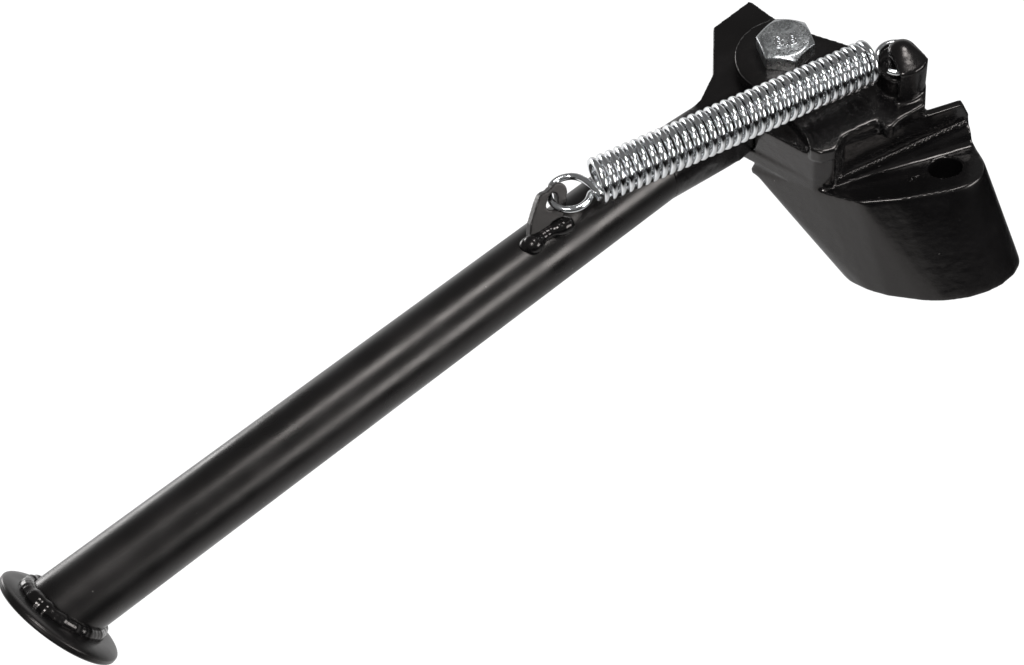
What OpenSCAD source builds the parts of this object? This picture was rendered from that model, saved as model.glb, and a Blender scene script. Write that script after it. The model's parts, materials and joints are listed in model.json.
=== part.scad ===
// Motorcycle side stand, millimetres, +Z up.
// The origin is the centre of the mounting bore's mouth on the bracket's machined pad.
// +Z runs out of the bore.
// The stand is drawn on its stop, with the leg down.
// The pivot frame has its origin on the swing axis, half-way between the two ears.
// Its +Z points at the bolt head.

/* [Bracket] */
// Radius of the round pad around the mounting bore
pad_r = 12.5; // [11:0.5:14]
// Depth of the boss below the pad
boss_h = 42; // [36:1:46]
// Diameter of the mounting bore
mount_d = 11; // [9:0.1:12]
// Height of the front wall's thick foot above the pad, at its right end
wall_foot_h = 8.4; // [6:0.2:9]
// Radius of the rough seam along the upper edge of that foot
seam_r = 1.6; // [1:0.1:1.9]
// Height of the side tab's top above the middle of the fork
tab_top = 5.8; // [3:0.2:8]
// Distance of the side tab's end from the swing axis
tab_reach = 49; // [44:0.5:52]
// Thickness of the side tab
tab_t = 2.8; // [2.5:0.1:4]

/* [Fork] */
// Tilt of the swing axis away from the mounting bore
pivot_tilt = 18.4; // [16:0.2:20]
// Distance of the swing axis to the left of the bore
pivot_left = 36; // [34:0.5:38]
// Distance of the swing axis behind the bore
pivot_back = 45; // [43:0.5:47]
// Height of the middle of the fork above the pad
pivot_up = 23; // [22:0.5:24]
// Thickness of the upper ear
ear_t = 5.7; // [5:0.1:6.5]
// Thickness of the lower ear
lower_ear_t = 6; // [5:0.1:7]
// Radius of the ears around the bolt
ear_r = 15.6; // [14.5:0.1:16.5]
// Running gap on each side of the leg's eye
side_gap = 0.3; // [0.2:0.05:0.5]

/* [Spring post] */
// Radius of the finger that holds the spring
finger_r = 4.7; // [4.2:0.1:5]
// Radius of the shoulder under the finger
shoulder_r = 7.8; // [6.5:0.1:8]
// Height of the shoulder above the upper ear
shoulder_h = 8.2; // [7:0.1:9]
// Height of the hooked ring above the middle of the fork
hook_h = 23.5; // [22.5:0.1:25]

/* [Leg] */
// Length from the swing axis to the middle of the foot
leg_l = 292.6; // [250:1:330]
// Outer diameter of the tube
tube_d = 21.3; // [20:0.1:23]
// Wall of the tube
tube_wall = 2.3; // [1.6:0.1:3]
// Thickness of the forged eye
eye_t = 12; // [11:0.1:13]
// Radius of the eye around the bush
eye_r = 13.8; // [12.5:0.1:14.2]
// Length of the forged eye up to the tube
eye_l = 64; // [58:1:70]
// Width of the strap between the eye and the tube
strap_w = 21; // [18:0.5:22]
// Reach of the stop wing from the swing axis
wing_r = 30; // [27:0.5:31]
// Lean of the leg out of the swing plane, toward the bolt head
leg_lean = 8.9; // [8:0.1:9.8]

/* [Foot] */
// Diameter of the foot plate
foot_d = 37.6; // [34:0.2:44]
// Thickness of the foot plate
foot_t = 3; // [2.5:0.1:4]
// Width of the weld around the tube on the foot
foot_weld_r = 2.2; // [1.6:0.1:3]

/* [Pivot bolt] */
// Diameter of the bolt
bolt_d = 10; // [9:0.5:10]
// Width across the flats of the head and the nut
hex_af = 17; // [16:0.5:17]
// Height of the head
head_h = 6.4; // [6:0.1:7]
// Height of the lock nut
nut_h = 10; // [8:0.5:11]
// Thickness of the washer
washer_t = 2; // [1.5:0.1:2.5]
// Outer diameter of the bush in the eye
bush_d = 14; // [13:0.5:15]

/* [Spring tab] */
// Distance of the spring tab from the swing axis, along the leg
tab_at = 112.4; // [105:0.2:118]
// Thickness of the spring tab
tab_plate_t = 2.8; // [2:0.1:3.2]
// Play of the spring's wire in the tab's slot
slot_play = 0.8; // [0.4:0.1:1]

/* [Return spring] */
// Diameter of the spring wire
wire_d = 2.2; // [1.8:0.1:2.4]
// Outer diameter of the coils
coil_d = 14.9; // [14:0.1:15.2]
// Number of turns
turns = 34; // [30:1:36]

/* [Hidden] */
$fn = 72;

// Small gaps: around the bolt, between the leg and its stop, and over the ring on the post
bolt_play = 0.1;
bush_play = 0.05;
thread_play = 0.02;
stop_gap = 0.25;
ring_gap = 0.6;
// The stretch of cuts past a face
past = 1;
// How far a piece's inner solids stay back from its outer faces
inset = 0.3;

// The fork, measured along the swing axis from its middle
ear_in = eye_t / 2 + side_gap;
ear_out = ear_in + ear_t;
low_out = ear_in + lower_ear_t;

// The leg's direction, from the swing axis toward the foot
leg_turn = 207.9;
// How far the bolt's head is turned
head_turn = 29;
// Where the forged eye changes from flat to round
eye_flat = 34;
// The wing's upper outline as a share of its lower one
wing_draft = 0.96;
// The strap's lower edge, off the leg's axis
strap_low = strap_w / 2 - 0.5;
// The foot plate's own tilt, so that it lies flat on the road when the leg is down
foot_turn = 22.8;
foot_rise = 26;
// How far the foot plate sits off the tube's axis
foot_shift = -1.4;

// Turns of a point about the three axes, and the step from one piece's frame to the next
function turn_x(a, p) = [p[0], p[1] * cos(a) - p[2] * sin(a), p[1] * sin(a) + p[2] * cos(a)];
function turn_y(a, p) = [p[0] * cos(a) + p[2] * sin(a), p[1], p[2] * cos(a) - p[0] * sin(a)];
function turn_z(a, p) = [p[0] * cos(a) - p[1] * sin(a), p[0] * sin(a) + p[1] * cos(a), p[2]];
function leg_to_pivot(p) = turn_z(leg_turn, turn_y(90 - leg_lean, p));
function pivot_to_part(p) = turn_x(pivot_tilt, p) + [-pivot_left, pivot_back, pivot_up];
function tab_to_leg(p) = [0, 0, tab_at] + turn_z(tab_round, [tube_d / 2, 0, 0]
    + turn_z(tab_back, turn_y(90, turn_x(90, turn_y(-tab_skew, turn_z(-tab_dip, p))))));

// How the spring tab stands on the tube: its place round it, its lean back, and its skew and dip along it
tab_round = 177.3;
tab_back = 34.8;
tab_skew = 8.6;
tab_dip = 5.9;
// Where the spring's wire passes through the tab
wire_at = [4.9, 8.1, 0];

// The spring's post and the two hooked rings, in the pivot frame
post_at = [29.6, -25];
ring_r = (coil_d - wire_d) / 2;
neck_r = finger_r - 1.1;
wire_hole = leg_to_pivot(tab_to_leg(wire_at));
pull = let (d = [post_at[0], post_at[1], hook_h] - wire_hole) d / norm(d);
post_ring = [post_at[0], post_at[1], hook_h] - (ring_r - wire_d / 2 - neck_r - bolt_play) * pull;
tab_ring = wire_hole + ring_r * pull;

// Paint and metal
black = [0.07, 0.07, 0.08];
zinc = [0.78, 0.79, 0.8];
steel = [0.55, 0.56, 0.58];

// Places its children in the pivot frame
module at_pivot() {
    translate([-pivot_left, pivot_back, pivot_up]) rotate([pivot_tilt, 0, 0]) children();
}

// Places its children with +Z along the leg, from the swing axis toward the foot
module along_leg() {
    at_pivot() rotate([0, 0, leg_turn]) rotate([0, 90 - leg_lean, 0]) children();
}

// The leg's direction and the foot's middle in the part's own frame
leg_dir = turn_x(pivot_tilt, leg_to_pivot([0, 0, 1]));
foot_mid = pivot_to_part(leg_to_pivot([0, 0, leg_l]));

// Places its children on the foot plate, with +Z toward the leg
module at_foot() {
    translate(foot_mid) rotate([0, 90 - foot_rise, foot_turn]) children();
}

// The bracket's outlines

// The foot of the fork's front wall, from its left end to its right end, in pad radii
wall_left = [-3.32, 0.72];
wall_right = [1, 1.06];

// Section of the boss at the pad, in pad radii
module pad_outline() rounded(1.5) {
    circle(r = pad_r);
    scale(pad_r) polygon([wall_left, [-2.48, -0.32], [-1.52, -0.69], [-0.4, -0.95], [0.16, -0.98], [1, 0],
        [1.12, 1.44], [-0.8, 2.08], [-4.6, 2.48]]);
}

// Rounds the outer corners of an outline
module rounded(r) offset(r = r) offset(delta = -r) children();

// Section of the boss at its underside, in pad radii
module base_outline() rounded(5) scale(pad_r)
    polygon([[-1.63, -0.72], [-1.2, -1.07], [-0.74, -1.31], [-0.16, -1.46],
    [0.32, -1.49], [0.83, -1.39], [1.32, -1.14], [1.65, -0.77], [1.76, -0.32], [1.68, 0.64], [1.12, 1.44],
    [-0.64, 1.92], [-2.76, 1.25], [-2.66, 0.56], [-2.36, 0], [-2, -0.43]]);

// Section of the fork's front wall where it meets the pad, in pad radii
module wall_outline() scale(pad_r) polygon([wall_left, [-1.52, 1.02], [0, 1.1], wall_right, [1.12, 1.44],
    [-0.8, 2.08], [-4.6, 2.48]]);

// The upper ear seen along the swing axis
module ear_outline() difference() {
    union() {
        translate([-1.5, -1]) circle(r = ear_r);
        polygon([[-ear_r - 1.2, -4], [-12, -18], [-8, -28], [-6.3, -36], [-7, -41],
            [-4.6, -43.6], [0.5, -44],
            [4.8, -39.8], [10.9, -38.6], [16.9, -38], [18, -41.8], [20.5, -42], [23.4, -40.2], [33, -37.8],
            post_at + [7, -5], post_at + [7.4, 1.2], post_at + [1, 9.6], [0.5, ear_r]]);
    }
    translate([0.5, ear_r - 1.6]) rotate(-45) square([60, 30]);
}

// The wall that closes the fork and carries the stops, seen along the swing axis
module web_outline() difference() {
    polygon([[-5.6, -41.4], [0.5, -43], [4.8, -39.8], [33, -37.8], post_at + [7, -5], post_at + [7.4, 3],
        post_at + [1, 10.4], [24, -10.5], [13, -10.5], [0, -14], [-19.6, -21]]);
    circle(r = eye_r + 1);
    rotate(leg_turn) translate([0, -20]) square([60, 20 + strap_low + stop_gap]);
}

// The lower ear seen along the swing axis
module lower_ear_outline() {
    circle(r = ear_r - 1);
    polygon([[-13, -5], [-22.8, -18], [-5.6, -41.4], [33, -37.8], post_at + [7.4, 3], [12, -9]]);
}

// Boss, ears, wall, post, tab and seam in one casting
module bracket() color(black) difference() {
    union() {
        hull() {
            translate([0, 0, -0.5]) linear_extrude(0.5) pad_outline();
            translate([0, 0, -boss_h]) linear_extrude(0.5) base_outline();
        }
        hull() {
            translate([0, 0, -2]) linear_extrude(1) offset(delta = -inset) wall_outline();
            at_pivot() translate([0, 0, inset - low_out]) linear_extrude(1) offset(delta = -inset) web_outline();
        }
        at_pivot() translate([0, 0, 1 - low_out]) linear_extrude(low_out + ear_in) web_outline();
        at_pivot() translate([0, 0, ear_in]) linear_extrude(ear_t) ear_outline();
        at_pivot() translate([0, 0, -low_out]) linear_extrude(lower_ear_t) lower_ear_outline();
        spring_post();
        side_tab();
        wall_foot();
        foot_seam();
    }
    at_pivot() translate([0, 0, -low_out - past])
        cylinder(r = bolt_d / 2 + bolt_play, h = low_out + ear_out + 2 * past);
    translate([0, 0, -boss_h - past]) cylinder(d = mount_d, h = boss_h + 2 * past);
}

// Shoulder, neck and domed cap, with a guard in front that hides the ring and carries the cap's front
module spring_post() at_pivot() translate(post_at) {
    cap_at = hook_h + wire_d / 2 + ring_gap;
    shoulder_top = ear_out + shoulder_h;
    translate([0, 0, 1 - low_out]) cylinder(r = shoulder_r, h = low_out - 1 + shoulder_top);
    translate([0, 0, ear_out]) cylinder(r = neck_r, h = cap_at + 0.5 - ear_out);
    translate([0, 0, ear_out - 1]) linear_extrude(shoulder_h + 1) guard_outline();
    translate([0, 0, shoulder_top - 1]) linear_extrude(cap_at + 1.2 - shoulder_top) difference() {
        guard_outline();
        translate([post_ring[0] - post_at[0], post_ring[1] - post_at[1]]) circle(r = coil_d / 2 + 2 * ring_gap);
    }
    translate([0, 0, cap_at]) hull() {
        rotate_extrude() intersection() {
            scale([1, 0.75]) circle(r = finger_r);
            square(finger_r);
        }
        linear_extrude(0.6) rounded(1) guard_outline();
    }
}

// The guard's outer edge seen along the swing axis, from the front round to the right
module guard_outline() intersection() {
    translate([-0.9, -0.8]) circle(r = shoulder_r + 1);
    polygon(20 * [[0, 0], for (a = [242:16:322]) [cos(a), sin(a)]]);
}

// Thin tab that carries the wall on to the right
module side_tab() at_pivot() translate([0, -38, 0]) rotate([90, 0, 0]) translate([0, 0, -tab_t])
    linear_extrude(tab_t) polygon([[30, -14], [tab_reach + 0.4, -14], [tab_reach, -1],
        [tab_reach - 2.6, tab_top],
        [30, tab_top]]);

// The front wall's thick foot: its right end's section, shrunk toward its left end
foot_end = [pad_r, pad_r, 0];
wall_foot_l = pad_r * 4.3;
wall_foot_turn = 3.5;
module wall_foot() translate(foot_end) rotate([90, 0, wall_foot_turn - 90])
    linear_extrude(wall_foot_l, scale = 0.1)
    polygon([[7.6, -inset / 2], [6.2, 0.4], [5.4, 1.6], [4.9, 0.5 * wall_foot_h], [4.3, 0.72 * wall_foot_h],
        [3.4, 0.88 * wall_foot_h], [2.2, wall_foot_h], [-0.7, wall_foot_h], [-6, -past], [7.6, -past]]);

// Rough seam along the upper edge of the wall's foot
module foot_seam() hull() {
    translate(foot_end + [-1.5, -2.4, wall_foot_h - 1.1]) sphere(r = seam_r, $fn = 24);
    translate([pad_r * wall_left[0] + 2, pad_r * wall_left[1] + 0.2, 0.4]) sphere(r = seam_r, $fn = 24);
}

// Pivot hardware

// Hexagonal prism with its corners turned off by a 30 degree cone at the top
module hex_body(af, h) {
    corner = af / sqrt(3);
    top_r = 0.45 * af;
    cone_h = (corner - top_r) * tan(30);
    intersection() {
        cylinder(r = corner, h = h, $fn = 6);
        union() {
            cylinder(r = corner + 1, h = h - cone_h);
            translate([0, 0, h - cone_h]) cylinder(r1 = corner, r2 = top_r, h = cone_h);
        }
    }
}

module pivot_bolt() color(zinc) at_pivot() {
    translate([0, 0, ear_out]) rotate(head_turn) hex_body(hex_af, head_h);
    bolt_end = low_out + washer_t + nut_h + 2;
    translate([0, 0, -bolt_end]) cylinder(d = bolt_d, h = bolt_end + ear_out);
}

module pivot_washer() color(zinc) at_pivot() translate([0, 0, -low_out - washer_t]) difference() {
    cylinder(r = hex_af / 2 + 1.5, h = washer_t);
    translate([0, 0, -past]) cylinder(r = bolt_d / 2 + bolt_play, h = washer_t + 2 * past);
}

module lock_nut() color(zinc) at_pivot() translate([0, 0, -low_out - washer_t]) rotate([180, 0, 0])
    difference() {
    hex_body(hex_af, nut_h - 2.5);
    translate([0, 0, -past]) cylinder(r = bolt_d / 2 + thread_play, h = nut_h + 2 * past);
}

module lock_insert() color("royalblue") at_pivot() translate([0, 0, -low_out - washer_t]) rotate([180, 0, 0])
    translate([0, 0, nut_h - 2.5]) difference() {
        cylinder(d = 0.88 * hex_af, h = 2.5);
        translate([0, 0, -past]) cylinder(r = bolt_d / 2 + thread_play, h = 2.5 + 2 * past);
    }

// Leg

module leg_tube() color(black) difference() {
    along_leg() translate([0, 0, eye_l]) difference() {
        cylinder(d = tube_d, h = leg_l);
        translate([0, 0, -past]) cylinder(d = tube_d - 2 * tube_wall, h = leg_l + 2 * past);
    }
    at_foot() translate([0, 0, foot_t / 2 - 100]) cylinder(r = 60, h = 100);
}

// The eye and its strap seen along the swing axis
module eye_outline() {
    circle(r = eye_r);
    rotate(leg_turn) translate([0, strap_low - strap_w]) square([eye_flat, strap_w]);
}

// The stop wing beyond the eye, with the draft of its forging: wider below than above
module stop_wing() translate([-12, 12, -eye_t / 2]) linear_extrude(eye_t, scale = wing_draft)
    scale(1 / wing_draft)
    translate([12, -12]) rounded(1.2) polygon(wing_r * [[-1.16, -0.27], [-1.03, -0.12], [-0.8, 0.15],
        [-0.57, 0.79], [-0.05, 1.01], [0.09, 0.7], [0.3, 0.35], [0, 0]]);

module leg_eye() color(black) difference() {
    union() {
        at_pivot() translate([0, 0, -eye_t / 2]) linear_extrude(eye_t) eye_outline();
        at_pivot() stop_wing();
        hull() {
            at_pivot() rotate(leg_turn) translate([eye_flat - 2, strap_low - strap_w + inset, inset - eye_t / 2])
                cube([2, strap_w - 2 * inset, eye_t - 2 * inset]);
            along_leg() translate([0, 0, eye_l - 1]) cylinder(d = tube_d, h = 1, $fn = 48);
        }
    }
    at_pivot() translate([0, 0, -eye_t]) cylinder(d = bush_d, h = 2 * eye_t);
}

module pivot_bush() color(steel) at_pivot() translate([0, 0, -eye_t / 2]) difference() {
    cylinder(d = bush_d, h = eye_t);
    translate([0, 0, -past]) cylinder(r = bolt_d / 2 + bush_play, h = eye_t + 2 * past);
}

// Foot

// Round plate whose top falls away toward a rounded rim
module foot_plate() color(black) at_foot() translate([0, foot_shift, -foot_t / 2]) rotate_extrude() {
    rim_r = foot_t / 4;
    square([foot_d / 2 - rim_r, foot_t / 2]);
    translate([foot_d / 2 - rim_r, rim_r]) circle(r = rim_r, $fn = 24);
    translate([0, rim_r]) square([foot_d / 2, foot_t / 2 - rim_r]);
    translate([foot_d * 0.36, foot_t / 2]) scale([foot_d * 0.14, foot_t / 2]) intersection() {
        circle(r = 1, $fn = 48);
        square(1);
    }
    square([foot_d * 0.36, foot_t]);
}

// A closed tube along a ring of points
function ring_normal(pts, i) = let (n = len(pts), d = pts[(i + 1) % n] - pts[(i + n - 1) % n]) d / norm(d);
module closed_bead(pts, r, sides = 8) {
    n = len(pts);
    all = [for (i = [0:n - 1]) let (d = ring_normal(pts, i), u = cross(d, [0, 0, 1]), w = u / norm(u))
        for (k = [0:sides - 1]) pts[i] + r * (cos(360 * k / sides) * w + sin(360 * k / sides) * [0, 0, 1])];
    polyhedron(all, [for (i = [0:n - 1]) for (k = [0:sides - 1])
        [i * sides + k, i * sides + (k + 1) % sides, ((i + 1) % n) * sides + (k + 1) % sides,
            ((i + 1) % n) * sides + k]]);
}

// Where the tube's axis leans on the foot plate, in the foot's frame
foot_up = [cos(foot_rise) * cos(foot_turn), cos(foot_rise) * sin(foot_turn), sin(foot_rise)];
foot_x = [sin(foot_rise) * cos(foot_turn), sin(foot_rise) * sin(foot_turn), -cos(foot_rise)];
foot_y = [-sin(foot_turn), cos(foot_turn), 0];
tube_in_foot = [-leg_dir * foot_x, -leg_dir * foot_y, -leg_dir * foot_up];
tube_slant = acos(tube_in_foot[2]);
tube_slant_turn = atan2(tube_in_foot[1], tube_in_foot[0]);

module foot_weld() color(black) difference() {
    at_foot() rotate(tube_slant_turn) closed_bead([for (a = [0:7.5:352])
        [(tube_d / 2 + 0.4) / cos(tube_slant) * cos(a), (tube_d / 2 + 0.4) * sin(a), foot_t / 2 + 0.3]], foot_weld_r);
    at_foot() translate([0, 0, foot_t / 2 - 20]) cylinder(r = foot_d, h = 20);
    along_leg() cylinder(d = tube_d, h = leg_l + 30);
}

// Spring tab

// Places its children on the spring tab: X along the tube toward the eye, Y up the tab
module at_tab() along_leg() translate([0, 0, tab_at]) rotate(tab_round) translate([tube_d / 2, 0, 0])
    rotate(tab_back) rotate([90, 90, 0]) rotate([0, -tab_skew, 0]) rotate(-tab_dip) children();

module spring_tab() color(black) difference() {
    at_tab() translate([0, 0, -tab_plate_t / 2]) linear_extrude(tab_plate_t) difference() {
        union() {
            polygon([[-6.6, -4], [6.6, -4], [6.2, 1.4], [9.9, 6.8], [7.4, 12.9], [0, 10], [-4.4, 4.4], [-6.3, 0]]);
            translate([7.7, 9.9]) circle(r = 3);
            translate([3.1, 8.6]) circle(r = 3.2);
        }
        wire_slot();
    }
    along_leg() cylinder(d = tube_d, h = leg_l);
}

// The slot that the spring's wire passes through aslant
module wire_slot() hull() for (step = [[0.5, 1], [0, -1], [-1, -0.8]])
    translate([wire_at[0], wire_at[1]] + step) circle(d = wire_d + slot_play);

module tab_weld() color(black) difference() {
    at_tab() hull() {
        translate([-6.4, -1, 0.6]) sphere(r = 3.6, $fn = 24);
        translate([6, -0.4, 0.8]) sphere(r = 3.2, $fn = 24);
    }
    at_tab() translate([-20, -20, -tab_plate_t / 2]) cube([40, 40, tab_plate_t]);
    along_leg() cylinder(d = tube_d, h = leg_l);
}

// Return spring

// The coils' axis runs from the tab's ring to a point beside the post's ring
coil_end = post_ring + [0, 3, 0];
spring_l = norm(coil_end - tab_ring);
spring_dir = (coil_end - tab_ring) / spring_l;
spring_side = let (c = cross(spring_dir, [0, -0.6, 0.8])) c / norm(c);
spring_face = cross(spring_side, spring_dir);
ring_side = let (c = cross([0, 0, 1], spring_dir)) c / norm(c);
ring_up = cross(spring_dir, ring_side);
// From each ring's middle to the first full coil
body_gap = ring_r + 2.4;
body_l = spring_l - 2 * body_gap;
turn_steps = 14;
function on_coil(x, a) = tab_ring + x * spring_dir + ring_r * (cos(a) * spring_side + sin(a) * spring_face);
function on_ring(mid, a) = mid + ring_r * (cos(a) * spring_dir + sin(a) * ring_side);

module return_spring() color(zinc) at_pivot() {
    near = concat(
        [for (p = [[1.26, -0.93, 0.16], [0.92, -0.16, 0.41], [0.72, 0.41, 0.3]])
            tab_ring + ring_r * (p[0] * spring_dir + p[1] * ring_side + p[2] * ring_up)],
        [for (a = [70:20:330]) on_ring(tab_ring, a)]);
    body = [for (i = [0:turns * turn_steps]) on_coil(body_gap + body_l * i / (turns * turn_steps),
        360 * i / turn_steps - 30)];
    far = [for (a = [130:-20:-150]) on_ring(post_ring, a)];
    open_wire(concat(near, body, far), wire_d / 2, 6);
}

// A round wire along an open row of points, with flat ends
module open_wire(pts, r, sides) {
    n = len(pts);
    function along(i) = let (d = pts[min(i + 1, n - 1)] - pts[max(i - 1, 0)]) d / norm(d);
    rings = [for (i = [0:n - 1]) let (d = along(i), c = cross(d, spring_dir),
        u = norm(c) > 0.2 ? c / norm(c) : spring_side, w = cross(u, d))
        for (k = [0:sides - 1]) pts[i] + r * (cos(360 * k / sides) * u + sin(360 * k / sides) * w)];
    sidefaces = [for (i = [0:n - 2]) for (k = [0:sides - 1])
        [i * sides + k, (i + 1) * sides + k, (i + 1) * sides + (k + 1) % sides, i * sides + (k + 1) % sides]];
    start = [[for (k = [0:sides - 1]) k]];
    finish = [[for (k = [sides - 1:-1:0]) (n - 1) * sides + k]];
    polyhedron(rings, concat(sidefaces, start, finish), convexity = 10);
}

bracket();
pivot_bolt();
pivot_washer();
lock_nut();
lock_insert();
leg_tube();
leg_eye();
pivot_bush();
foot_plate();
foot_weld();
spring_tab();
tab_weld();
return_spring();
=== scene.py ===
# %% [markdown]
# # Dressing a motorcycle side stand
# The stand is a painted tube with a round foot, hung in a painted fork bracket by a zinc-plated bolt.
# A plated coil spring pulls between a small tab on the tube and a post on the bracket. The sizes and the
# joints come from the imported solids; this script gives every piece its finish, its softened edges and
# its welds, and lights the whole for one photograph.

# %% Load the solids
import json
import math

import bmesh
import bpy
from mathutils import Matrix, Vector


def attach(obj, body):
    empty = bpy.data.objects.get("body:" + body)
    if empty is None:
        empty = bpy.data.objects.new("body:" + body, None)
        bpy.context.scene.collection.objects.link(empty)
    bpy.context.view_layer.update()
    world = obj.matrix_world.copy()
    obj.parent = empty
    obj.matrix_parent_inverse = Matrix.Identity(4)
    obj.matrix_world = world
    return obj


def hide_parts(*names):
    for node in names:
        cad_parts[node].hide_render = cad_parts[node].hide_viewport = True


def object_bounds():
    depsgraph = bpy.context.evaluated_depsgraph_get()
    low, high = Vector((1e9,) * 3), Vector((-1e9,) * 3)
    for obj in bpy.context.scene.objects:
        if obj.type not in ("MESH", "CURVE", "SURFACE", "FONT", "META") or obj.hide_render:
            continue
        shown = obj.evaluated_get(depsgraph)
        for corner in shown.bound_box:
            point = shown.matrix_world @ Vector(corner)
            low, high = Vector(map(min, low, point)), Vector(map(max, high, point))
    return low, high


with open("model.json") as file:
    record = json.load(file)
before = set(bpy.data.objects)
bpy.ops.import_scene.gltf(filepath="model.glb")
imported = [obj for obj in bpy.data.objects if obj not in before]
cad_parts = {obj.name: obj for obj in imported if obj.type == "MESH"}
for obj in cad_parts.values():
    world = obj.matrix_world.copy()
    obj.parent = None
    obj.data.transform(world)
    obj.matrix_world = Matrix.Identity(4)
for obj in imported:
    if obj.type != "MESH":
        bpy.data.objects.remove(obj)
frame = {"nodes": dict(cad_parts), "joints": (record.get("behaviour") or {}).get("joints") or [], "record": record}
cad_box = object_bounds()
MM = 0.001
MERGE = 1e-6
print("solids:", sorted(frame["nodes"]))

# %% [markdown]
# ## Directions to work from
# The two hinges tell where the pivot and the spring's post are. Everything on the bracket is easiest to
# place in the pivot frame, whose third axis is the bolt, so two small functions step between frames.
# The leg's own direction is three angles, the same ones that the solids were built from.

# %% The pivot frame and the leg frame
hinges = {joint["name"]: joint for joint in frame["joints"]}
pivot = Vector(hinges["leg_swing"]["pos_m"])
bolt_axis = -Vector(hinges["leg_swing"]["axis"]).normalized()
tilt = Matrix.Rotation(math.atan2(-bolt_axis.y, bolt_axis.z), 3, "X")
leg_turn = math.radians(207.9)
leg_lean = math.radians(8.9)
leg_matrix = tilt @ Matrix.Rotation(leg_turn, 3, "Z") @ Matrix.Rotation(math.pi / 2 - leg_lean, 3, "Y")


def at_pivot(x, y, z):
    """A point given in millimetres in the pivot frame, in the row frame's metres."""
    return pivot + tilt @ Vector((x, y, z)) * MM


def along_leg(x, y, z):
    """A point given in millimetres with its third number along the leg, in metres."""
    return pivot + leg_matrix @ Vector((x, y, z)) * MM


def in_pivot(point):
    """The pivot frame's millimetres of a point in the row frame."""
    return tilt.transposed() @ (Vector(point) - pivot) / MM


print("pivot at", [round(v / MM, 1) for v in pivot], "mm")
print("leg toward", [round(v, 3) for v in leg_matrix.col[2]])

# %% [markdown]
# ## The camera
# The photograph looks down on the stand from in front, with the camera rolled a little clockwise.
# A lens of 60 mm on a 36 mm sensor gives its mild perspective. Direction, tilt and roll are three
# angles, and the camera's own axes are built from them.

# %% Camera at the photograph's viewpoint
def new_object(name, data):
    """An object in the scene that holds the data."""
    made = bpy.data.objects.new(name, data)
    bpy.context.scene.collection.objects.link(made)
    return made


camera_at = Vector((-165.8, -430.4, 343.4)) * MM
camera_heading = math.radians(2.07)
camera_drop = math.radians(39.5)
camera_roll = math.radians(16.15)
look = Vector((math.sin(camera_heading) * math.cos(camera_drop),
               math.cos(camera_heading) * math.cos(camera_drop), -math.sin(camera_drop)))
level_right = look.cross(Vector((0, 0, 1))).normalized()
level_up = level_right.cross(look)
right = math.cos(camera_roll) * level_right - math.sin(camera_roll) * level_up
up = right.cross(look)
camera_data = bpy.data.cameras.new("camera")
camera_data.lens = 60.0
camera_data.sensor_width = 36.0
camera_data.clip_start = 0.01
camera = new_object("camera", camera_data)
camera.matrix_world = Matrix.Translation(camera_at) @ Matrix((right, up, -look)).transposed().to_4x4()
bpy.context.scene.camera = camera
print("camera", [round(v, 3) for v in camera.location], "lens", camera_data.lens)

# %% [markdown]
# ## Helpers for node trees
# Colours are written as the hex values that a paint chart would give. Shaders work in linear light, so
# one function converts them. Another adds a node with its settings and its links in one call. Texture
# sizes are given in millimetres, and a ramp turns any measure into a mask.

# %% Helpers for colours and nodes
def linear(hex_colour):
    """A hex colour as the linear red, green, blue and alpha that shaders use."""
    parts = [int(hex_colour[i:i + 2], 16) / 255 for i in (1, 3, 5)]
    return [v / 12.92 if v <= 0.04045 else ((v + 0.055) / 1.055) ** 2.4 for v in parts] + [1.0]


def add(tree, kind, inputs=None, **settings):
    """Adds a node, applies its settings, and fills each input with a value or a link."""
    node = tree.nodes.new(kind)
    for name, value in settings.items():
        setattr(node, name, value)
    for name, value in (inputs or {}).items():
        socket = node.inputs[name]
        if isinstance(value, bpy.types.NodeSocket):
            tree.links.new(value, socket)
        else:
            socket.default_value = value
    return node


def material(name):
    """An empty material with its tree, its surface shader and its object coordinates."""
    made = bpy.data.materials.new(name)
    made.use_nodes = True
    tree = made.node_tree
    tree.nodes.clear()
    surface = add(tree, "ShaderNodeBsdfPrincipled")
    add(tree, "ShaderNodeOutputMaterial", {"Surface": surface.outputs[0]})
    place = add(tree, "ShaderNodeTexCoord").outputs["Object"]
    return made, tree, surface, place


def per_metre(size_mm):
    """The texture scale that gives one feature every size_mm."""
    return 1000.0 / size_mm


def ramp(tree, value, start, end):
    """An output that is 0 at start and 1 at end, and flat past them."""
    return add(tree, "ShaderNodeMapRange", {"Value": value, "From Min": start, "From Max": end}).outputs[0]


print("black enamel #0e0d0e is linear", [round(v, 4) for v in linear("#0e0d0e")])
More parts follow.
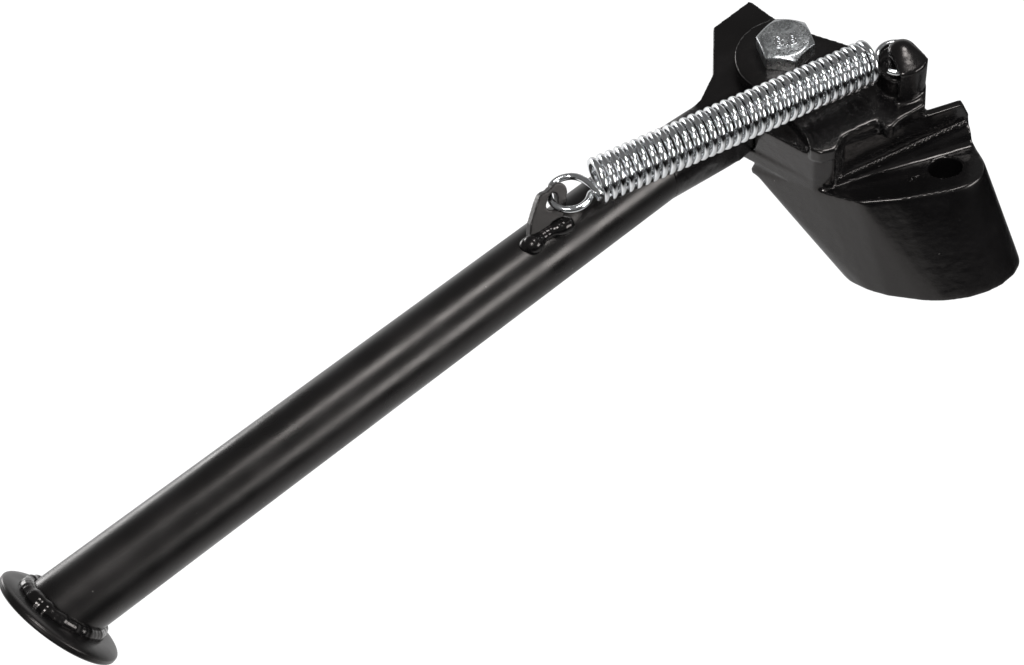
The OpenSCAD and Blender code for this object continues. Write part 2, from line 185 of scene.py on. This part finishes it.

# %% [markdown]
# ## Black powder coat
# The leg and bracket are powder coated: polyester powder that melts into a thick gloss skin. What the
# eye sees is a very dark, smooth gloss that wrinkles slightly like orange peel, every 3 mm or so. Small
# light grey spots stand for small chips and are also painted glints on dust nibs. A dielectric shader with
# low roughness and two bumps gives this. Its mirror light has a faint warm tint, as the paint in the photograph
# has.

# %% Black powder coat
def powder_coat(name, peel_mm, peel_depth, grit_depth, roughness):
    """Gloss black powder coat; the depths are in millimetres."""
    grit_mm, haze_mm, nib_mm = 0.9, 14, 6
    made, tree, surface, place = material(name)
    peel = add(tree, "ShaderNodeTexNoise", {"Vector": place, "Scale": per_metre(peel_mm), "Detail": 1.5})
    grit = add(tree, "ShaderNodeTexNoise", {"Vector": place, "Scale": per_metre(grit_mm), "Detail": 3.0})
    wave = add(tree, "ShaderNodeTexNoise", {"Vector": place, "Scale": per_metre(haze_mm), "Detail": 2.0})
    nib = add(tree, "ShaderNodeTexVoronoi", {"Vector": place, "Scale": per_metre(nib_mm)})
    # Small light grey spots: small chips, and painted glints on dust nibs.
    chip_and_nib_glint_mask = ramp(tree, nib.outputs["Distance"], 0.05, 0.02)
    haze = add(tree, "ShaderNodeMixRGB", {"Fac": wave.outputs["Fac"], "Color1": linear("#070707"),
               "Color2": linear("#0e0d0e")})
    chips_and_nib_glints = add(tree, "ShaderNodeMixRGB", {"Fac": chip_and_nib_glint_mask, "Color1": haze.outputs[0],
                                             "Color2": linear("#4a4947")})
    gloss = add(tree, "ShaderNodeMapRange", {"Value": wave.outputs["Fac"], "From Min": 0.3, "From Max": 0.7,
                "To Min": roughness * 0.8, "To Max": roughness * 1.25})
    first = add(tree, "ShaderNodeBump", {"Height": peel.outputs["Fac"], "Distance": peel_depth * MM,
                "Strength": 1.0})
    second = add(tree, "ShaderNodeBump", {"Height": grit.outputs["Fac"], "Distance": grit_depth * MM,
                 "Strength": 1.0, "Normal": first.outputs[0]})
    tree.links.new(chips_and_nib_glints.outputs[0], surface.inputs["Base Color"])
    tree.links.new(gloss.outputs[0], surface.inputs["Roughness"])
    tree.links.new(second.outputs[0], surface.inputs["Normal"])
    surface.inputs["IOR"].default_value = 1.5
    surface.inputs["Specular Tint"].default_value = linear("#fff8f4")
    return made


tube_paint = powder_coat("powder_coat_on_drawn_tube", 3.0, 0.03, 0.003, 0.31)
cast_paint = powder_coat("powder_coat_on_casting", 3.6, 0.15, 0.006, 0.2)
weld_paint = powder_coat("powder_coat_on_weld", 1.8, 0.06, 0.006, 0.2)
print("paints:", tube_paint.name, cast_paint.name, weld_paint.name)

# %% [markdown]
# ## Bright zinc
# Bolt and spring are electroplated with bright zinc. It is a thin silver metal with a faint blue cast,
# nearly mirror-like on drawn wire and duller on a forged bolt head, where the steel's rough skin shows
# through. Both are full metals; only roughness and a fine bump tell them apart.

# %% Zinc plate for the bolt and the spring
def zinc_plate(name, colour, dull_colour, roughness, skin_mm, skin_depth):
    """Bright zinc over steel; skin_mm is the size of the steel's own roughness."""
    cloud_mm = 5
    made, tree, surface, place = material(name)
    skin = add(tree, "ShaderNodeTexNoise", {"Vector": place, "Scale": per_metre(skin_mm), "Detail": 5.0,
               "Roughness": 0.65})
    cloud = add(tree, "ShaderNodeTexNoise", {"Vector": place, "Scale": per_metre(cloud_mm), "Detail": 3.0})
    tone = add(tree, "ShaderNodeMixRGB", {"Fac": cloud.outputs["Fac"], "Color1": linear(dull_colour),
               "Color2": linear(colour)})
    gloss = add(tree, "ShaderNodeMapRange", {"Value": skin.outputs["Fac"], "From Min": 0.3, "From Max": 0.7,
                "To Min": roughness * 0.7, "To Max": roughness * 1.4})
    bump = add(tree, "ShaderNodeBump", {"Height": skin.outputs["Fac"], "Distance": skin_depth * MM})
    tree.links.new(tone.outputs[0], surface.inputs["Base Color"])
    tree.links.new(gloss.outputs[0], surface.inputs["Roughness"])
    tree.links.new(bump.outputs[0], surface.inputs["Normal"])
    surface.inputs["Metallic"].default_value = 1.0
    return made


bolt_zinc = zinc_plate("zinc_plated_forged_bolt", "#e0e2e3", "#86898b", 0.27, 1.1, 0.13)
spring_zinc = zinc_plate("zinc_plated_spring_wire", "#f4f5f6", "#d6d8da", 0.15, 1.6, 0.003)
bare_steel = zinc_plate("turned_steel_bush", "#a9aaac", "#8b8c8e", 0.35, 0.5, 0.01)
print("metals:", bolt_zinc.name, spring_zinc.name, bare_steel.name)

# %% Blue nylon of the lock nut's ring
nylon, nylon_tree, nylon_surface, nylon_place = material("moulded_nylon_ring")
nylon_grain = add(nylon_tree, "ShaderNodeTexNoise", {"Vector": nylon_place, "Scale": per_metre(1.2)})
nylon_tone = add(nylon_tree, "ShaderNodeMixRGB", {"Fac": nylon_grain.outputs["Fac"],
                 "Color1": linear("#2a4f9a"), "Color2": linear("#3a63b4")})
nylon_tree.links.new(nylon_tone.outputs[0], nylon_surface.inputs["Base Color"])
nylon_surface.inputs["Roughness"].default_value = 0.45
print("plastic:", nylon.name)

# %% [markdown]
# ## Softened castings
# The solids have sharp edges, but a casting under thick paint has none. Each painted piece is copied,
# its triangles are merged and rebuilt as an even grid of small quads (a voxel remesh), and the grid is
# relaxed, which rounds every edge by about the same radius as the real paint and draft do.

# %% Helper that softens a solid
def finished(made, body, slot, paint, *nodes):
    """Gives a new piece its finish and its body, and hides the solids that it stands for; slot is not used."""
    made.data.materials.clear()
    made.data.materials.append(paint)
    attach(made, body)
    if nodes:
        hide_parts(*nodes)
    return made


def baked(source, name):
    """The evaluated mesh of an object, as a plain object at the origin."""
    bpy.context.view_layer.update()
    depsgraph = bpy.context.evaluated_depsgraph_get()
    mesh = bpy.data.meshes.new_from_object(source.evaluated_get(depsgraph), depsgraph=depsgraph)
    made = new_object(name, mesh)
    bpy.data.objects.remove(source, do_unlink=True)
    mesh.shade_smooth()
    return made


def merged_copy(node, name, flat_angle=None):
    """A copy of a solid with its doubled vertices merged.

    Faces that meet at less than flat_angle are joined, where one is given."""
    mesh = frame["nodes"][node].data.copy()
    work = bmesh.new()
    work.from_mesh(mesh)
    bmesh.ops.remove_doubles(work, verts=work.verts, dist=MERGE)
    if flat_angle:
        bmesh.ops.dissolve_limit(work, angle_limit=flat_angle, verts=work.verts, edges=work.edges)
    work.to_mesh(mesh)
    work.free()
    return new_object(name + "_work", mesh)


def weighted(source, group_name, weight_at):
    """Gives each vertex a weight from its place in millimetres."""
    group = source.vertex_groups.new(name=group_name)
    for vertex in source.data.vertices:
        group.add([vertex.index], weight_at(vertex.co / MM), "REPLACE")


def softened(node, name, voxel_mm, rounds, round_more=None, more_rounds=0):
    """A copy of a solid with its edges rounded by a remesh and a few rounds of smoothing.

    round_more gives the places, by their point in millimetres, that get more_rounds on top."""
    copy = merged_copy(node, name)
    grid = copy.modifiers.new("grid", "REMESH")
    grid.mode = "VOXEL"
    grid.voxel_size = voxel_mm * MM
    relax = copy.modifiers.new("relax", "SMOOTH")
    relax.factor = 0.5
    relax.iterations = rounds
    made = baked(copy, name)
    if round_more:
        weighted(made, "round", round_more)
        blur = made.modifiers.new("blur", "SMOOTH")
        blur.factor = 0.5
        blur.iterations = more_rounds
        blur.vertex_group = "round"
        made = baked(made, name)
        made.name = name
    print(name, "has", len(made.data.polygons), "quads")
    return made


# %% Bracket casting
pad_clear, pad_fade = 0.5, 2.0
bore_clear, bore_fade = 7.5, 2.5
hole_clear, hole_fade = 7.0, 3.0


def faded(distance, fade):
    """0 up to nothing, then rising to 1 over the fade, both in millimetres."""
    return min(1.0, max(0.0, distance / fade))


def on_boss(point):
    """1 on the boss's outer skin, falling to 0 toward the pad, the bore and the pivot's hole."""
    below = faded(pad_clear - point.z, pad_fade)
    off_bore = faded(math.hypot(point.x, point.y) - bore_clear, bore_fade)
    off_pivot = faded(math.hypot(*in_pivot(point * MM).xy) - hole_clear, hole_fade)
    return below * off_bore * off_pivot


bracket = softened("bracket", "bracket_casting", 0.55, 7, on_boss, 30)
finished(bracket, "bracket", "black_paint", cast_paint, "bracket")

# %% Forged eye of the leg
eye = softened("leg_eye", "forged_eye", 0.5, 8)
finished(eye, "leg", "black_paint", cast_paint, "leg_eye")

# %% Spring tab plate
tab_plate = softened("spring_tab", "tab_plate", 0.25, 4)
finished(tab_plate, "leg", "black_paint", tube_paint, "spring_tab")

# %% [markdown]
# ## The spring
# An extension spring is one wire: 34 close turns and a hooked ring at each end. A path that
# follows the wire's middle is worked out point by point, and a small Geometry Nodes tree sweeps a round
# section along it. The tree's wire thickness and section stay as named inputs.

# %% Geometry Nodes tree that sweeps a wire
def wire_tree():
    """Sweeps a round section along the edges of the mesh that it is given."""
    tree = bpy.data.node_groups.new("wire_along_path", "GeometryNodeTree")
    face = tree.interface
    face.new_socket("Path", in_out="INPUT", socket_type="NodeSocketGeometry")
    sockets = {"radius": face.new_socket("Wire Radius", in_out="INPUT", socket_type="NodeSocketFloat"),
               "sides": face.new_socket("Section Points", in_out="INPUT", socket_type="NodeSocketInt"),
               "finish": face.new_socket("Finish", in_out="INPUT", socket_type="NodeSocketMaterial")}
    face.new_socket("Wire", in_out="OUTPUT", socket_type="NodeSocketGeometry")
    given = add(tree, "NodeGroupInput").outputs
    path = add(tree, "GeometryNodeMeshToCurve", {"Mesh": given["Path"]})
    section = add(tree, "GeometryNodeCurvePrimitiveCircle", {"Resolution": given["Section Points"],
                  "Radius": given["Wire Radius"]})
    swept = add(tree, "GeometryNodeCurveToMesh", {"Curve": path.outputs[0],
                "Profile Curve": section.outputs[0], "Fill Caps": True})
    smooth = add(tree, "GeometryNodeSetShadeSmooth", {"Geometry": swept.outputs[0]})
    real = add(tree, "GeometryNodeRealizeInstances", {"Geometry": smooth.outputs[0]})
    painted = add(tree, "GeometryNodeSetMaterial", {"Geometry": real.outputs[0],
                  "Material": given["Finish"]})
    add(tree, "NodeGroupOutput", {"Wire": painted.outputs[0]})
    return tree, sockets


def path_object(name, points):
    """A mesh of one row of edges through the points."""
    mesh = bpy.data.meshes.new(name)
    mesh.from_pydata([tuple(p) for p in points], [(i, i + 1) for i in range(len(points) - 1)], [])
    return new_object(name, mesh)


spring_tree, spring_inputs = wire_tree()
print("tree inputs:", {name: socket.identifier for name, socket in spring_inputs.items()})

# %% The tab's frame on the tube
tube_r = 21.3 / 2
tab_along = 112.4
tab_round = 177.3
tab_turn = 34.8
tab_yaw = -8.6
tab_lean = -5.9
hole_along, hole_up = 4.9, 8.1
tab_matrix = (Matrix.Rotation(math.radians(tab_round + tab_turn), 3, "Z")
              @ Matrix.Rotation(math.pi / 2, 3, "Y") @ Matrix.Rotation(math.pi / 2, 3, "X")
              @ Matrix.Rotation(math.radians(tab_yaw), 3, "Y")
              @ Matrix.Rotation(math.radians(tab_lean), 3, "Z"))
tab_root = (Matrix.Rotation(math.radians(tab_round), 3, "Z") @ Vector((tube_r, 0, 0))
            + Vector((0, 0, tab_along)))


def at_tab(x, y, z):
    """A point on the tab: first along the tube toward the eye, then up the tab, then out of its face."""
    return along_leg(*(tab_root + tab_matrix @ Vector((x, y, z))))


print("wire hole at", [round(v / MM, 1) for v in at_tab(hole_along, hole_up, 0)], "mm")

# %% Path of the spring's wire
wire_d = 2.2
coil_d = 14.9
coil_turns = 34
ring_r = (coil_d - wire_d) / 2
finger_neck = 3.6
ring_play = 0.1
coil_shift = 3
hook_room = 2.4
coil_start = math.radians(-30)
steps = 40
wire_hole = in_pivot(at_tab(hole_along, hole_up, 0))
post = in_pivot(hinges["spring_swing"]["pos_m"])
pull = (post - wire_hole).normalized()
post_ring = post - (ring_r - wire_d / 2 - finger_neck - ring_play) * pull
tab_ring = wire_hole + ring_r * pull
coil_line = post_ring + Vector((0, coil_shift, 0)) - tab_ring
coil_dir = coil_line.normalized()
coil_down = coil_dir.cross(Vector((0, -0.6, 0.8))).normalized()
coil_front = coil_down.cross(coil_dir)
ring_side = Vector((0, 0, 1)).cross(coil_dir).normalized()
ring_up = coil_dir.cross(ring_side)
body_gap = ring_r + hook_room
body_l = coil_line.length - 2 * body_gap


def on_ring(middle, angle):
    """A point on one of the hooked rings."""
    return middle + ring_r * (math.cos(angle) * coil_dir + math.sin(angle) * ring_side)


def on_coil(x, angle):
    """A point on the close turns."""
    return tab_ring + x * coil_dir + ring_r * (math.cos(angle) * coil_down + math.sin(angle) * coil_front)


def eased(a, a_dir, b, b_dir, count):
    """Points strictly between a and b on a smooth curve that leaves along a_dir and arrives along b_dir."""
    reach = (b - a).length * 1.1
    points = []
    for i in range(1, count):
        t = i / count
        points.append((2 * t ** 3 - 3 * t ** 2 + 1) * a + (t ** 3 - 2 * t ** 2 + t) * reach * a_dir
                      + (3 * t ** 2 - 2 * t ** 3) * b + (t ** 3 - t ** 2) * reach * b_dir)
    return points


def ring_points(middle, first, last):
    """Points around a ring, from one angle in degrees to another."""
    count = max(2, round(abs(last - first) / 7))
    return [on_ring(middle, math.radians(first + (last - first) * i / count)) for i in range(count + 1)]


loose_end = [tab_ring + ring_r * (p[0] * coil_dir + p[1] * ring_side + p[2] * ring_up)
             for p in ((1.26, -0.93, 0.16), (0.92, -0.16, 0.41))]
near = ring_points(tab_ring, 75, 322)
coil = [on_coil(body_gap + body_l * i / (coil_turns * steps), 2 * math.pi * i / steps + coil_start)
        for i in range(coil_turns * steps + 1)]
far = ring_points(post_ring, 125, -150)
lead = eased(loose_end[0], (loose_end[1] - loose_end[0]).normalized(), near[0],
             (near[1] - near[0]).normalized(), 14)
into = eased(near[-1], (near[-1] - near[-2]).normalized(), coil[0], (coil[1] - coil[0]).normalized(), 10)
out = eased(coil[-1], (coil[-1] - coil[-2]).normalized(), far[0], (far[1] - far[0]).normalized(), 12)
wire_points = [loose_end[0]] + lead + near + into + coil + out + far
print("wire is", round(sum((a - b).length for a, b in zip(wire_points, wire_points[1:]))), "mm long")

# %% Return spring
spring = path_object("return_spring_work", [at_pivot(*p) for p in wire_points])
sweep = spring.modifiers.new("sweep", "NODES")
sweep.node_group = spring_tree
sweep[spring_inputs["radius"].identifier] = wire_d / 2 * MM
sweep[spring_inputs["sides"].identifier] = 14
sweep[spring_inputs["finish"].identifier] = spring_zinc
coil_spring = baked(spring, "coil_spring")
finished(coil_spring, "spring", "spring_zinc", spring_zinc, "return_spring")
print("spring has", len(coil_spring.data.polygons), "faces")

# %% [markdown]
# ## Welds
# A hand weld is laid in drops that melt into each other, so it is a row of lumps with a wavy edge. A
# small Geometry Nodes tree sets one round drop on each point of a path, with random sizes. A voxel
# remesh melts the drops together, a few rounds of smoothing settle them, and thick paint covers all.

# %% Geometry Nodes tree that sets drops on points
def drop_tree():
    """Sets a small ball on each vertex of the path, its size from the path's own numbers and a seed."""
    tree = bpy.data.node_groups.new("drops_on_points", "GeometryNodeTree")
    face = tree.interface
    face.new_socket("Path", in_out="INPUT", socket_type="NodeSocketGeometry")
    sockets = {"radius": face.new_socket("Drop Radius", in_out="INPUT", socket_type="NodeSocketFloat"),
               "least": face.new_socket("Least Size", in_out="INPUT", socket_type="NodeSocketFloat"),
               "seed": face.new_socket("Seed", in_out="INPUT", socket_type="NodeSocketInt"),
               "finish": face.new_socket("Finish", in_out="INPUT", socket_type="NodeSocketMaterial")}
    face.new_socket("Drops", in_out="OUTPUT", socket_type="NodeSocketGeometry")
    given = add(tree, "NodeGroupInput").outputs
    points = add(tree, "GeometryNodeMeshToPoints", {"Mesh": given["Path"]})
    ball = add(tree, "GeometryNodeMeshIcoSphere", {"Radius": given["Drop Radius"], "Subdivisions": 3})
    own = add(tree, "GeometryNodeInputNamedAttribute", {"Name": "size"}, data_type="FLOAT")
    chance = add(tree, "FunctionNodeRandomValue", {"Seed": given["Seed"]}, data_type="FLOAT")
    least = next(i for i in chance.inputs if i.name == "Min" and i.type == "VALUE")
    tree.links.new(given["Least Size"], least)
    share = next(o for o in chance.outputs if o.type == "VALUE")
    size = add(tree, "ShaderNodeMath", {0: own.outputs[0], 1: share}, operation="MULTIPLY")
    set_out = add(tree, "GeometryNodeInstanceOnPoints", {"Points": points.outputs[0],
                  "Instance": ball.outputs[0], "Scale": size.outputs[0]})
    real = add(tree, "GeometryNodeRealizeInstances", {"Geometry": set_out.outputs[0]})
    painted = add(tree, "GeometryNodeSetMaterial", {"Geometry": real.outputs[0],
                  "Material": given["Finish"]})
    add(tree, "NodeGroupOutput", {"Drops": painted.outputs[0]})
    return tree, sockets


drops_tree, drops_inputs = drop_tree()


def melted(name, points, sizes, radius_mm, least, seed, voxel_mm, rounds):
    """A painted weld: drops on the points, melted into one skin."""
    row = path_object(name + "_work", points)
    share = row.data.attributes.new("size", "FLOAT", "POINT")
    share.data.foreach_set("value", sizes)
    lay = row.modifiers.new("lay", "NODES")
    lay.node_group = drops_tree
    for key, value in (("radius", radius_mm * MM), ("least", least), ("seed", seed),
                       ("finish", weld_paint)):
        lay[drops_inputs[key].identifier] = value
    grid = row.modifiers.new("grid", "REMESH")
    grid.mode = "VOXEL"
    grid.voxel_size = voxel_mm * MM
    settle = row.modifiers.new("settle", "SMOOTH")
    settle.factor = 0.5
    settle.iterations = rounds
    made = baked(row, name)
    print(name, "has", len(made.data.polygons), "quads")
    return made


print("drop inputs:", sorted(drops_inputs))

# %% Weld around the tube on the foot plate
foot_face = next(m for m in frame["record"]["mounts"] if m["name"] == "foot_face")
foot_up = -Vector(foot_face["axis"]).normalized()
foot_t = 3.0
leg_dir = leg_matrix.col[2].copy()
foot_plane = Vector(foot_face["pos_m"]) + foot_up * foot_t * MM
meet = pivot + leg_dir * ((foot_plane - pivot).dot(foot_up) / leg_dir.dot(foot_up))
slant = 1 / abs(leg_dir.dot(foot_up))
long_way = (-leg_dir - foot_up * (-leg_dir).dot(foot_up)).normalized()
short_way = foot_up.cross(long_way)
foot_drops = 46
bead_out, bead_up = 0.5, 0.4
weld_ring = []
weld_sizes = []
for i in range(foot_drops):
    turn = 2 * math.pi * i / foot_drops
    weld_ring.append(meet + ((tube_r + bead_out) * MM) * (slant * math.cos(turn) * long_way
                     + math.sin(turn) * short_way) + foot_up * bead_up * MM)
    weld_sizes.append(1.0 + 0.16 * math.sin(2 * turn + 0.6))
foot_bead = melted("foot_weld_bead", weld_ring, weld_sizes, 2.6, 0.78, 3, 0.35, 12)
finished(foot_bead, "leg", "black_paint", weld_paint, "foot_weld")

# %% Weld at the foot of the tab
tab_spots = [(-7.2, -1.6, 1.0, 0.95), (-6.0, -1.4, 2.0, 1.0), (-4.6, -1.2, 1.9, 0.88),
             (-3.2, -0.9, 1.5, 0.72), (-1.8, -0.6, 1.3, 0.66), (-0.4, -0.4, 1.3, 0.64),
             (1.0, -0.3, 1.3, 0.66), (2.4, -0.3, 1.4, 0.74), (3.8, -0.4, 1.6, 0.86),
             (5.2, -0.5, 1.8, 0.94), (6.4, -0.6, 1.6, 0.96), (7.2, -0.8, 0.8, 0.85)]
tab_bead = melted("tab_weld_bead", [at_tab(*spot[:3]) for spot in tab_spots],
                  [spot[3] for spot in tab_spots], 3.3, 0.88, 5, 0.25, 4)
finished(tab_bead, "leg", "black_paint", weld_paint, "tab_weld")

# %% Weld spatter on the casting
spatter_spots = [(-38.2, 9.6, 1.5, 1.0), (-36.6, 9.9, 2.2, 0.7), (-34.6, 9.4, 2.4, 0.9),
                 (-33.2, 8.2, 1.2, 0.8), (-35.6, 7.6, 0.6, 0.6), (-21.0, 10.6, 5.6, 0.7),
                 (-20.4, 10.0, 4.6, 0.6), (-19.2, 8.2, 2.2, 0.9), (-18.6, 6.6, 0.6, 0.7),
                 (-11.8, -0.6, 0.0, 1.0), (-10.2, -0.2, 0.0, 1.2), (-9.2, 0.2, 0.0, 0.8),
                 (-12.6, -1.4, 0.0, 0.6), (-24.6, -4.6, -0.2, 0.8)]
spatter = melted("weld_spatter", [Vector(spot[:3]) * MM for spot in spatter_spots],
                 [spot[3] for spot in spatter_spots], 0.62, 0.8, 11, 0.12, 1)
finished(spatter, "bracket", "black_paint", weld_paint)

# %% [markdown]
# ## The parting seam
# Where the two halves of the mould met, a rough line of metal runs along the foot of the fork's wall. It
# is laid with the same drops as the welds, smaller toward its end.

# %% Rough parting seam on the casting
seam_from = Vector((11.0, 9.3, 8.2))
seam_to = Vector((-34.0, 8.5, 2.1))
seam_drops = 36
seam_shrink = 0.35
seam_points = [seam_from.lerp(seam_to, i / (seam_drops - 1)) * MM for i in range(seam_drops)]
seam_sizes = [1.0 - seam_shrink * i / seam_drops for i in range(seam_drops)]
seam = melted("parting_seam", seam_points, seam_sizes, 1.5, 0.72, 8, 0.2, 2)
finished(seam, "bracket", "black_paint", weld_paint)

# %% [markdown]
# ## The bolt head
# A forged M10 head has a turned chamfer, a flat top and its strength class raised on it.
# The solid already has the hexagon and the chamfer, so its edges are only bevelled a little, and the
# figures are made as text, turned into a mesh and set on the top face.

# %% Bevelled bolt
def bevelled(node, name, width_mm):
    """A copy of a solid with merged faces and small round edges."""
    copy = merged_copy(node, name, math.radians(2))
    edge = copy.modifiers.new("edge", "BEVEL")
    edge.width = width_mm * MM
    edge.segments = 3
    edge.limit_method = "ANGLE"
    edge.angle_limit = math.radians(22)
    return baked(copy, name)


bolt = bevelled("pivot_bolt", "hex_bolt", 0.25)
finished(bolt, "bracket", "zinc", bolt_zinc, "pivot_bolt")
bolt.data.set_sharp_from_angle(angle=math.radians(30))
print("bolt has", len(bolt.data.polygons), "faces")

# %% Strength class on the head
head_top = 18.4
figure_edge = 0.14


def raised_text(words, name, size_mm, x, y, turn_degrees, height_mm):
    """Raised figures on the bolt's head, as a mesh in its place."""
    curve = bpy.data.curves.new(name, "FONT")
    curve.body = words
    curve.size = size_mm
    curve.extrude = height_mm
    curve.bevel_depth = figure_edge
    curve.align_x = "CENTER"
    curve.align_y = "CENTER"
    made = baked(new_object(name + "_work", curve), name)
    turned = Matrix.Translation((x, y, head_top)) @ Matrix.Rotation(math.radians(turn_degrees), 4, "Z")
    made.data.transform(Matrix.Translation(pivot) @ tilt.to_4x4() @ Matrix.Scale(MM, 4) @ turned)
    return made


class_mark = raised_text("8.8", "class_mark", 6.2, -0.4, -1.6, -14, 0.55)
finished(class_mark, "bracket", "zinc", spring_zinc)
class_mark.data.set_sharp_from_angle(angle=math.radians(30))
print("figures have", len(class_mark.data.polygons), "faces")

# %% Finishes on the solids that stay
for node, paint in {"leg_tube": tube_paint, "foot_plate": tube_paint, "pivot_washer": bolt_zinc,
                    "lock_nut": bolt_zinc, "lock_insert": nylon, "pivot_bush": bare_steel}.items():
    solid = frame["nodes"][node]
    for slot in solid.material_slots:
        slot.material = paint
    print(node, "is", paint.name)

# %% [markdown]
# ## Light and background
# The photograph was cut out on pure white, but what the gloss paint mirrors is a studio: a sheet of
# white paper underneath and behind, and a dark room above and in front. The floor and the world are
# white to the camera. To mirrors they are white where the paper is, and dim elsewhere. Most of the white
# that the camera sees on the floor is a glow, and the rest is lit paper. With these lamps the two add up
# to full white everywhere, so no shadow shows, as in the photograph.

# %% World
def ray_kinds(tree):
    """1 for rays from the camera, and 1 for rays that reach the background by a mirror or through glass."""
    rays = add(tree, "ShaderNodeLightPath").outputs
    mirrors = add(tree, "ShaderNodeMath", {0: rays["Is Glossy Ray"], 1: rays["Is Transmission Ray"]},
                  operation="MAXIMUM")
    return rays["Is Camera Ray"], mirrors.outputs[0]


world = bpy.data.worlds.new("studio")
bpy.context.scene.world = world
world.use_nodes = True
sky = world.node_tree
sky.nodes.clear()
sky_camera, sky_mirrors = ray_kinds(sky)
way = add(sky, "ShaderNodeSeparateXYZ", {0: add(sky, "ShaderNodeTexCoord").outputs["Generated"]}).outputs
dim_room, even_light = 0.14, 0.5
low = ramp(sky, way["Z"], 0.5, 0.05)
behind = ramp(sky, way["Y"], 0.1, 0.8)
paper_wall = add(sky, "ShaderNodeMath", {0: low, 1: behind}, operation="MULTIPLY")
mirrored = add(sky, "ShaderNodeMapRange", {"Value": paper_wall.outputs[0], "To Min": dim_room})
to_mirrors = add(sky, "ShaderNodeMix", {0: sky_mirrors, 2: even_light, 3: mirrored.outputs[0]})
seen = add(sky, "ShaderNodeMath", {0: sky_camera, 1: to_mirrors.outputs[0]}, operation="MAXIMUM")
shine = add(sky, "ShaderNodeBackground", {"Color": (1, 1, 1, 1), "Strength": seen.outputs[0]})
add(sky, "ShaderNodeOutputWorld", {"Surface": shine.outputs[0]})
print("the room mirrors as", dim_room, "and lights evenly with", even_light)

# %% Floor
floor_mesh = bpy.data.meshes.new("floor")
floor_drop = 0.12
lowest = cad_box[0][2] - floor_drop
half = 3.0
floor_mesh.from_pydata([(-half, -half, lowest), (half, -half, lowest), (half, half, lowest),
                        (-half, half, lowest)], [], [(0, 1, 2, 3)])
floor = new_object("floor", floor_mesh)
floor_paper, paper_tree, paper_surface, paper_place = material("white_paper")
paper_surface.inputs["Base Color"].default_value = linear("#f2f2f2")
paper_surface.inputs["Roughness"].default_value = 0.9
spot = add(paper_tree, "ShaderNodeSeparateXYZ", {0: paper_place}).outputs
front_edge = ramp(paper_tree, spot["Y"], -0.34, -0.15)
right_edge = ramp(paper_tree, spot["X"], 0.25, -0.25)
sheet = add(paper_tree, "ShaderNodeMath", {0: front_edge, 1: right_edge}, operation="MULTIPLY")
paper_camera, paper_mirrors = ray_kinds(paper_tree)
camera_glow, glow_share = 1.12, 0.82
paper_bright = add(paper_tree, "ShaderNodeMix", {0: paper_mirrors, 2: camera_glow, 3: sheet.outputs[0]})
paper_glow = add(paper_tree, "ShaderNodeEmission", {"Color": (1, 1, 1, 1),
                 "Strength": paper_bright.outputs[0]})
to_camera = add(paper_tree, "ShaderNodeMath", {0: paper_camera, 1: glow_share}, operation="MULTIPLY")
paper_seen = add(paper_tree, "ShaderNodeMath", {0: to_camera.outputs[0], 1: paper_mirrors},
                 operation="MAXIMUM")
paper_mix = add(paper_tree, "ShaderNodeMixShader", {0: paper_seen.outputs[0],
                1: paper_surface.outputs[0], 2: paper_glow.outputs[0]})
paper_out = next(n for n in paper_tree.nodes if n.type == "OUTPUT_MATERIAL")
paper_tree.links.new(paper_mix.outputs[0], paper_out.inputs["Surface"])
floor_mesh.materials.append(floor_paper)
print("floor at", round(lowest, 3))


# %% Lamps
def soft_lamp(name, place, target, size, watts):
    """A soft box of a size in metres, aimed at a point."""
    data = bpy.data.lights.new(name, "AREA")
    data.shape = "RECTANGLE"
    data.size = size[0]
    data.size_y = size[1]
    data.energy = watts
    lamp = new_object(name, data)
    aim = (Vector(target) - Vector(place)).to_track_quat("-Z", "Y")
    lamp.matrix_world = Matrix.Translation(place) @ aim.to_matrix().to_4x4()


centre = Vector([(least + most) / 2 for least, most in zip(*cad_box)])
soft_lamp("strip_right", (0.74, -0.6, 0.12), centre, (0.6, 0.34), 5.4)
soft_lamp("box_above_camera", (-0.35, -0.75, 0.95), centre, (0.35, 0.35), 8)
soft_lamp("box_overhead", (0.21, -0.1, 0.76), (0, 0, 0), (0.22, 0.22), 2.2)
soft_lamp("box_back_left", (-0.72, 0.86, 0.2), centre, (0.5, 0.3), 3)
print("lamps aimed at", [round(v, 3) for v in centre])

# %% Colour management
bpy.context.scene.view_settings.view_transform = "Standard"
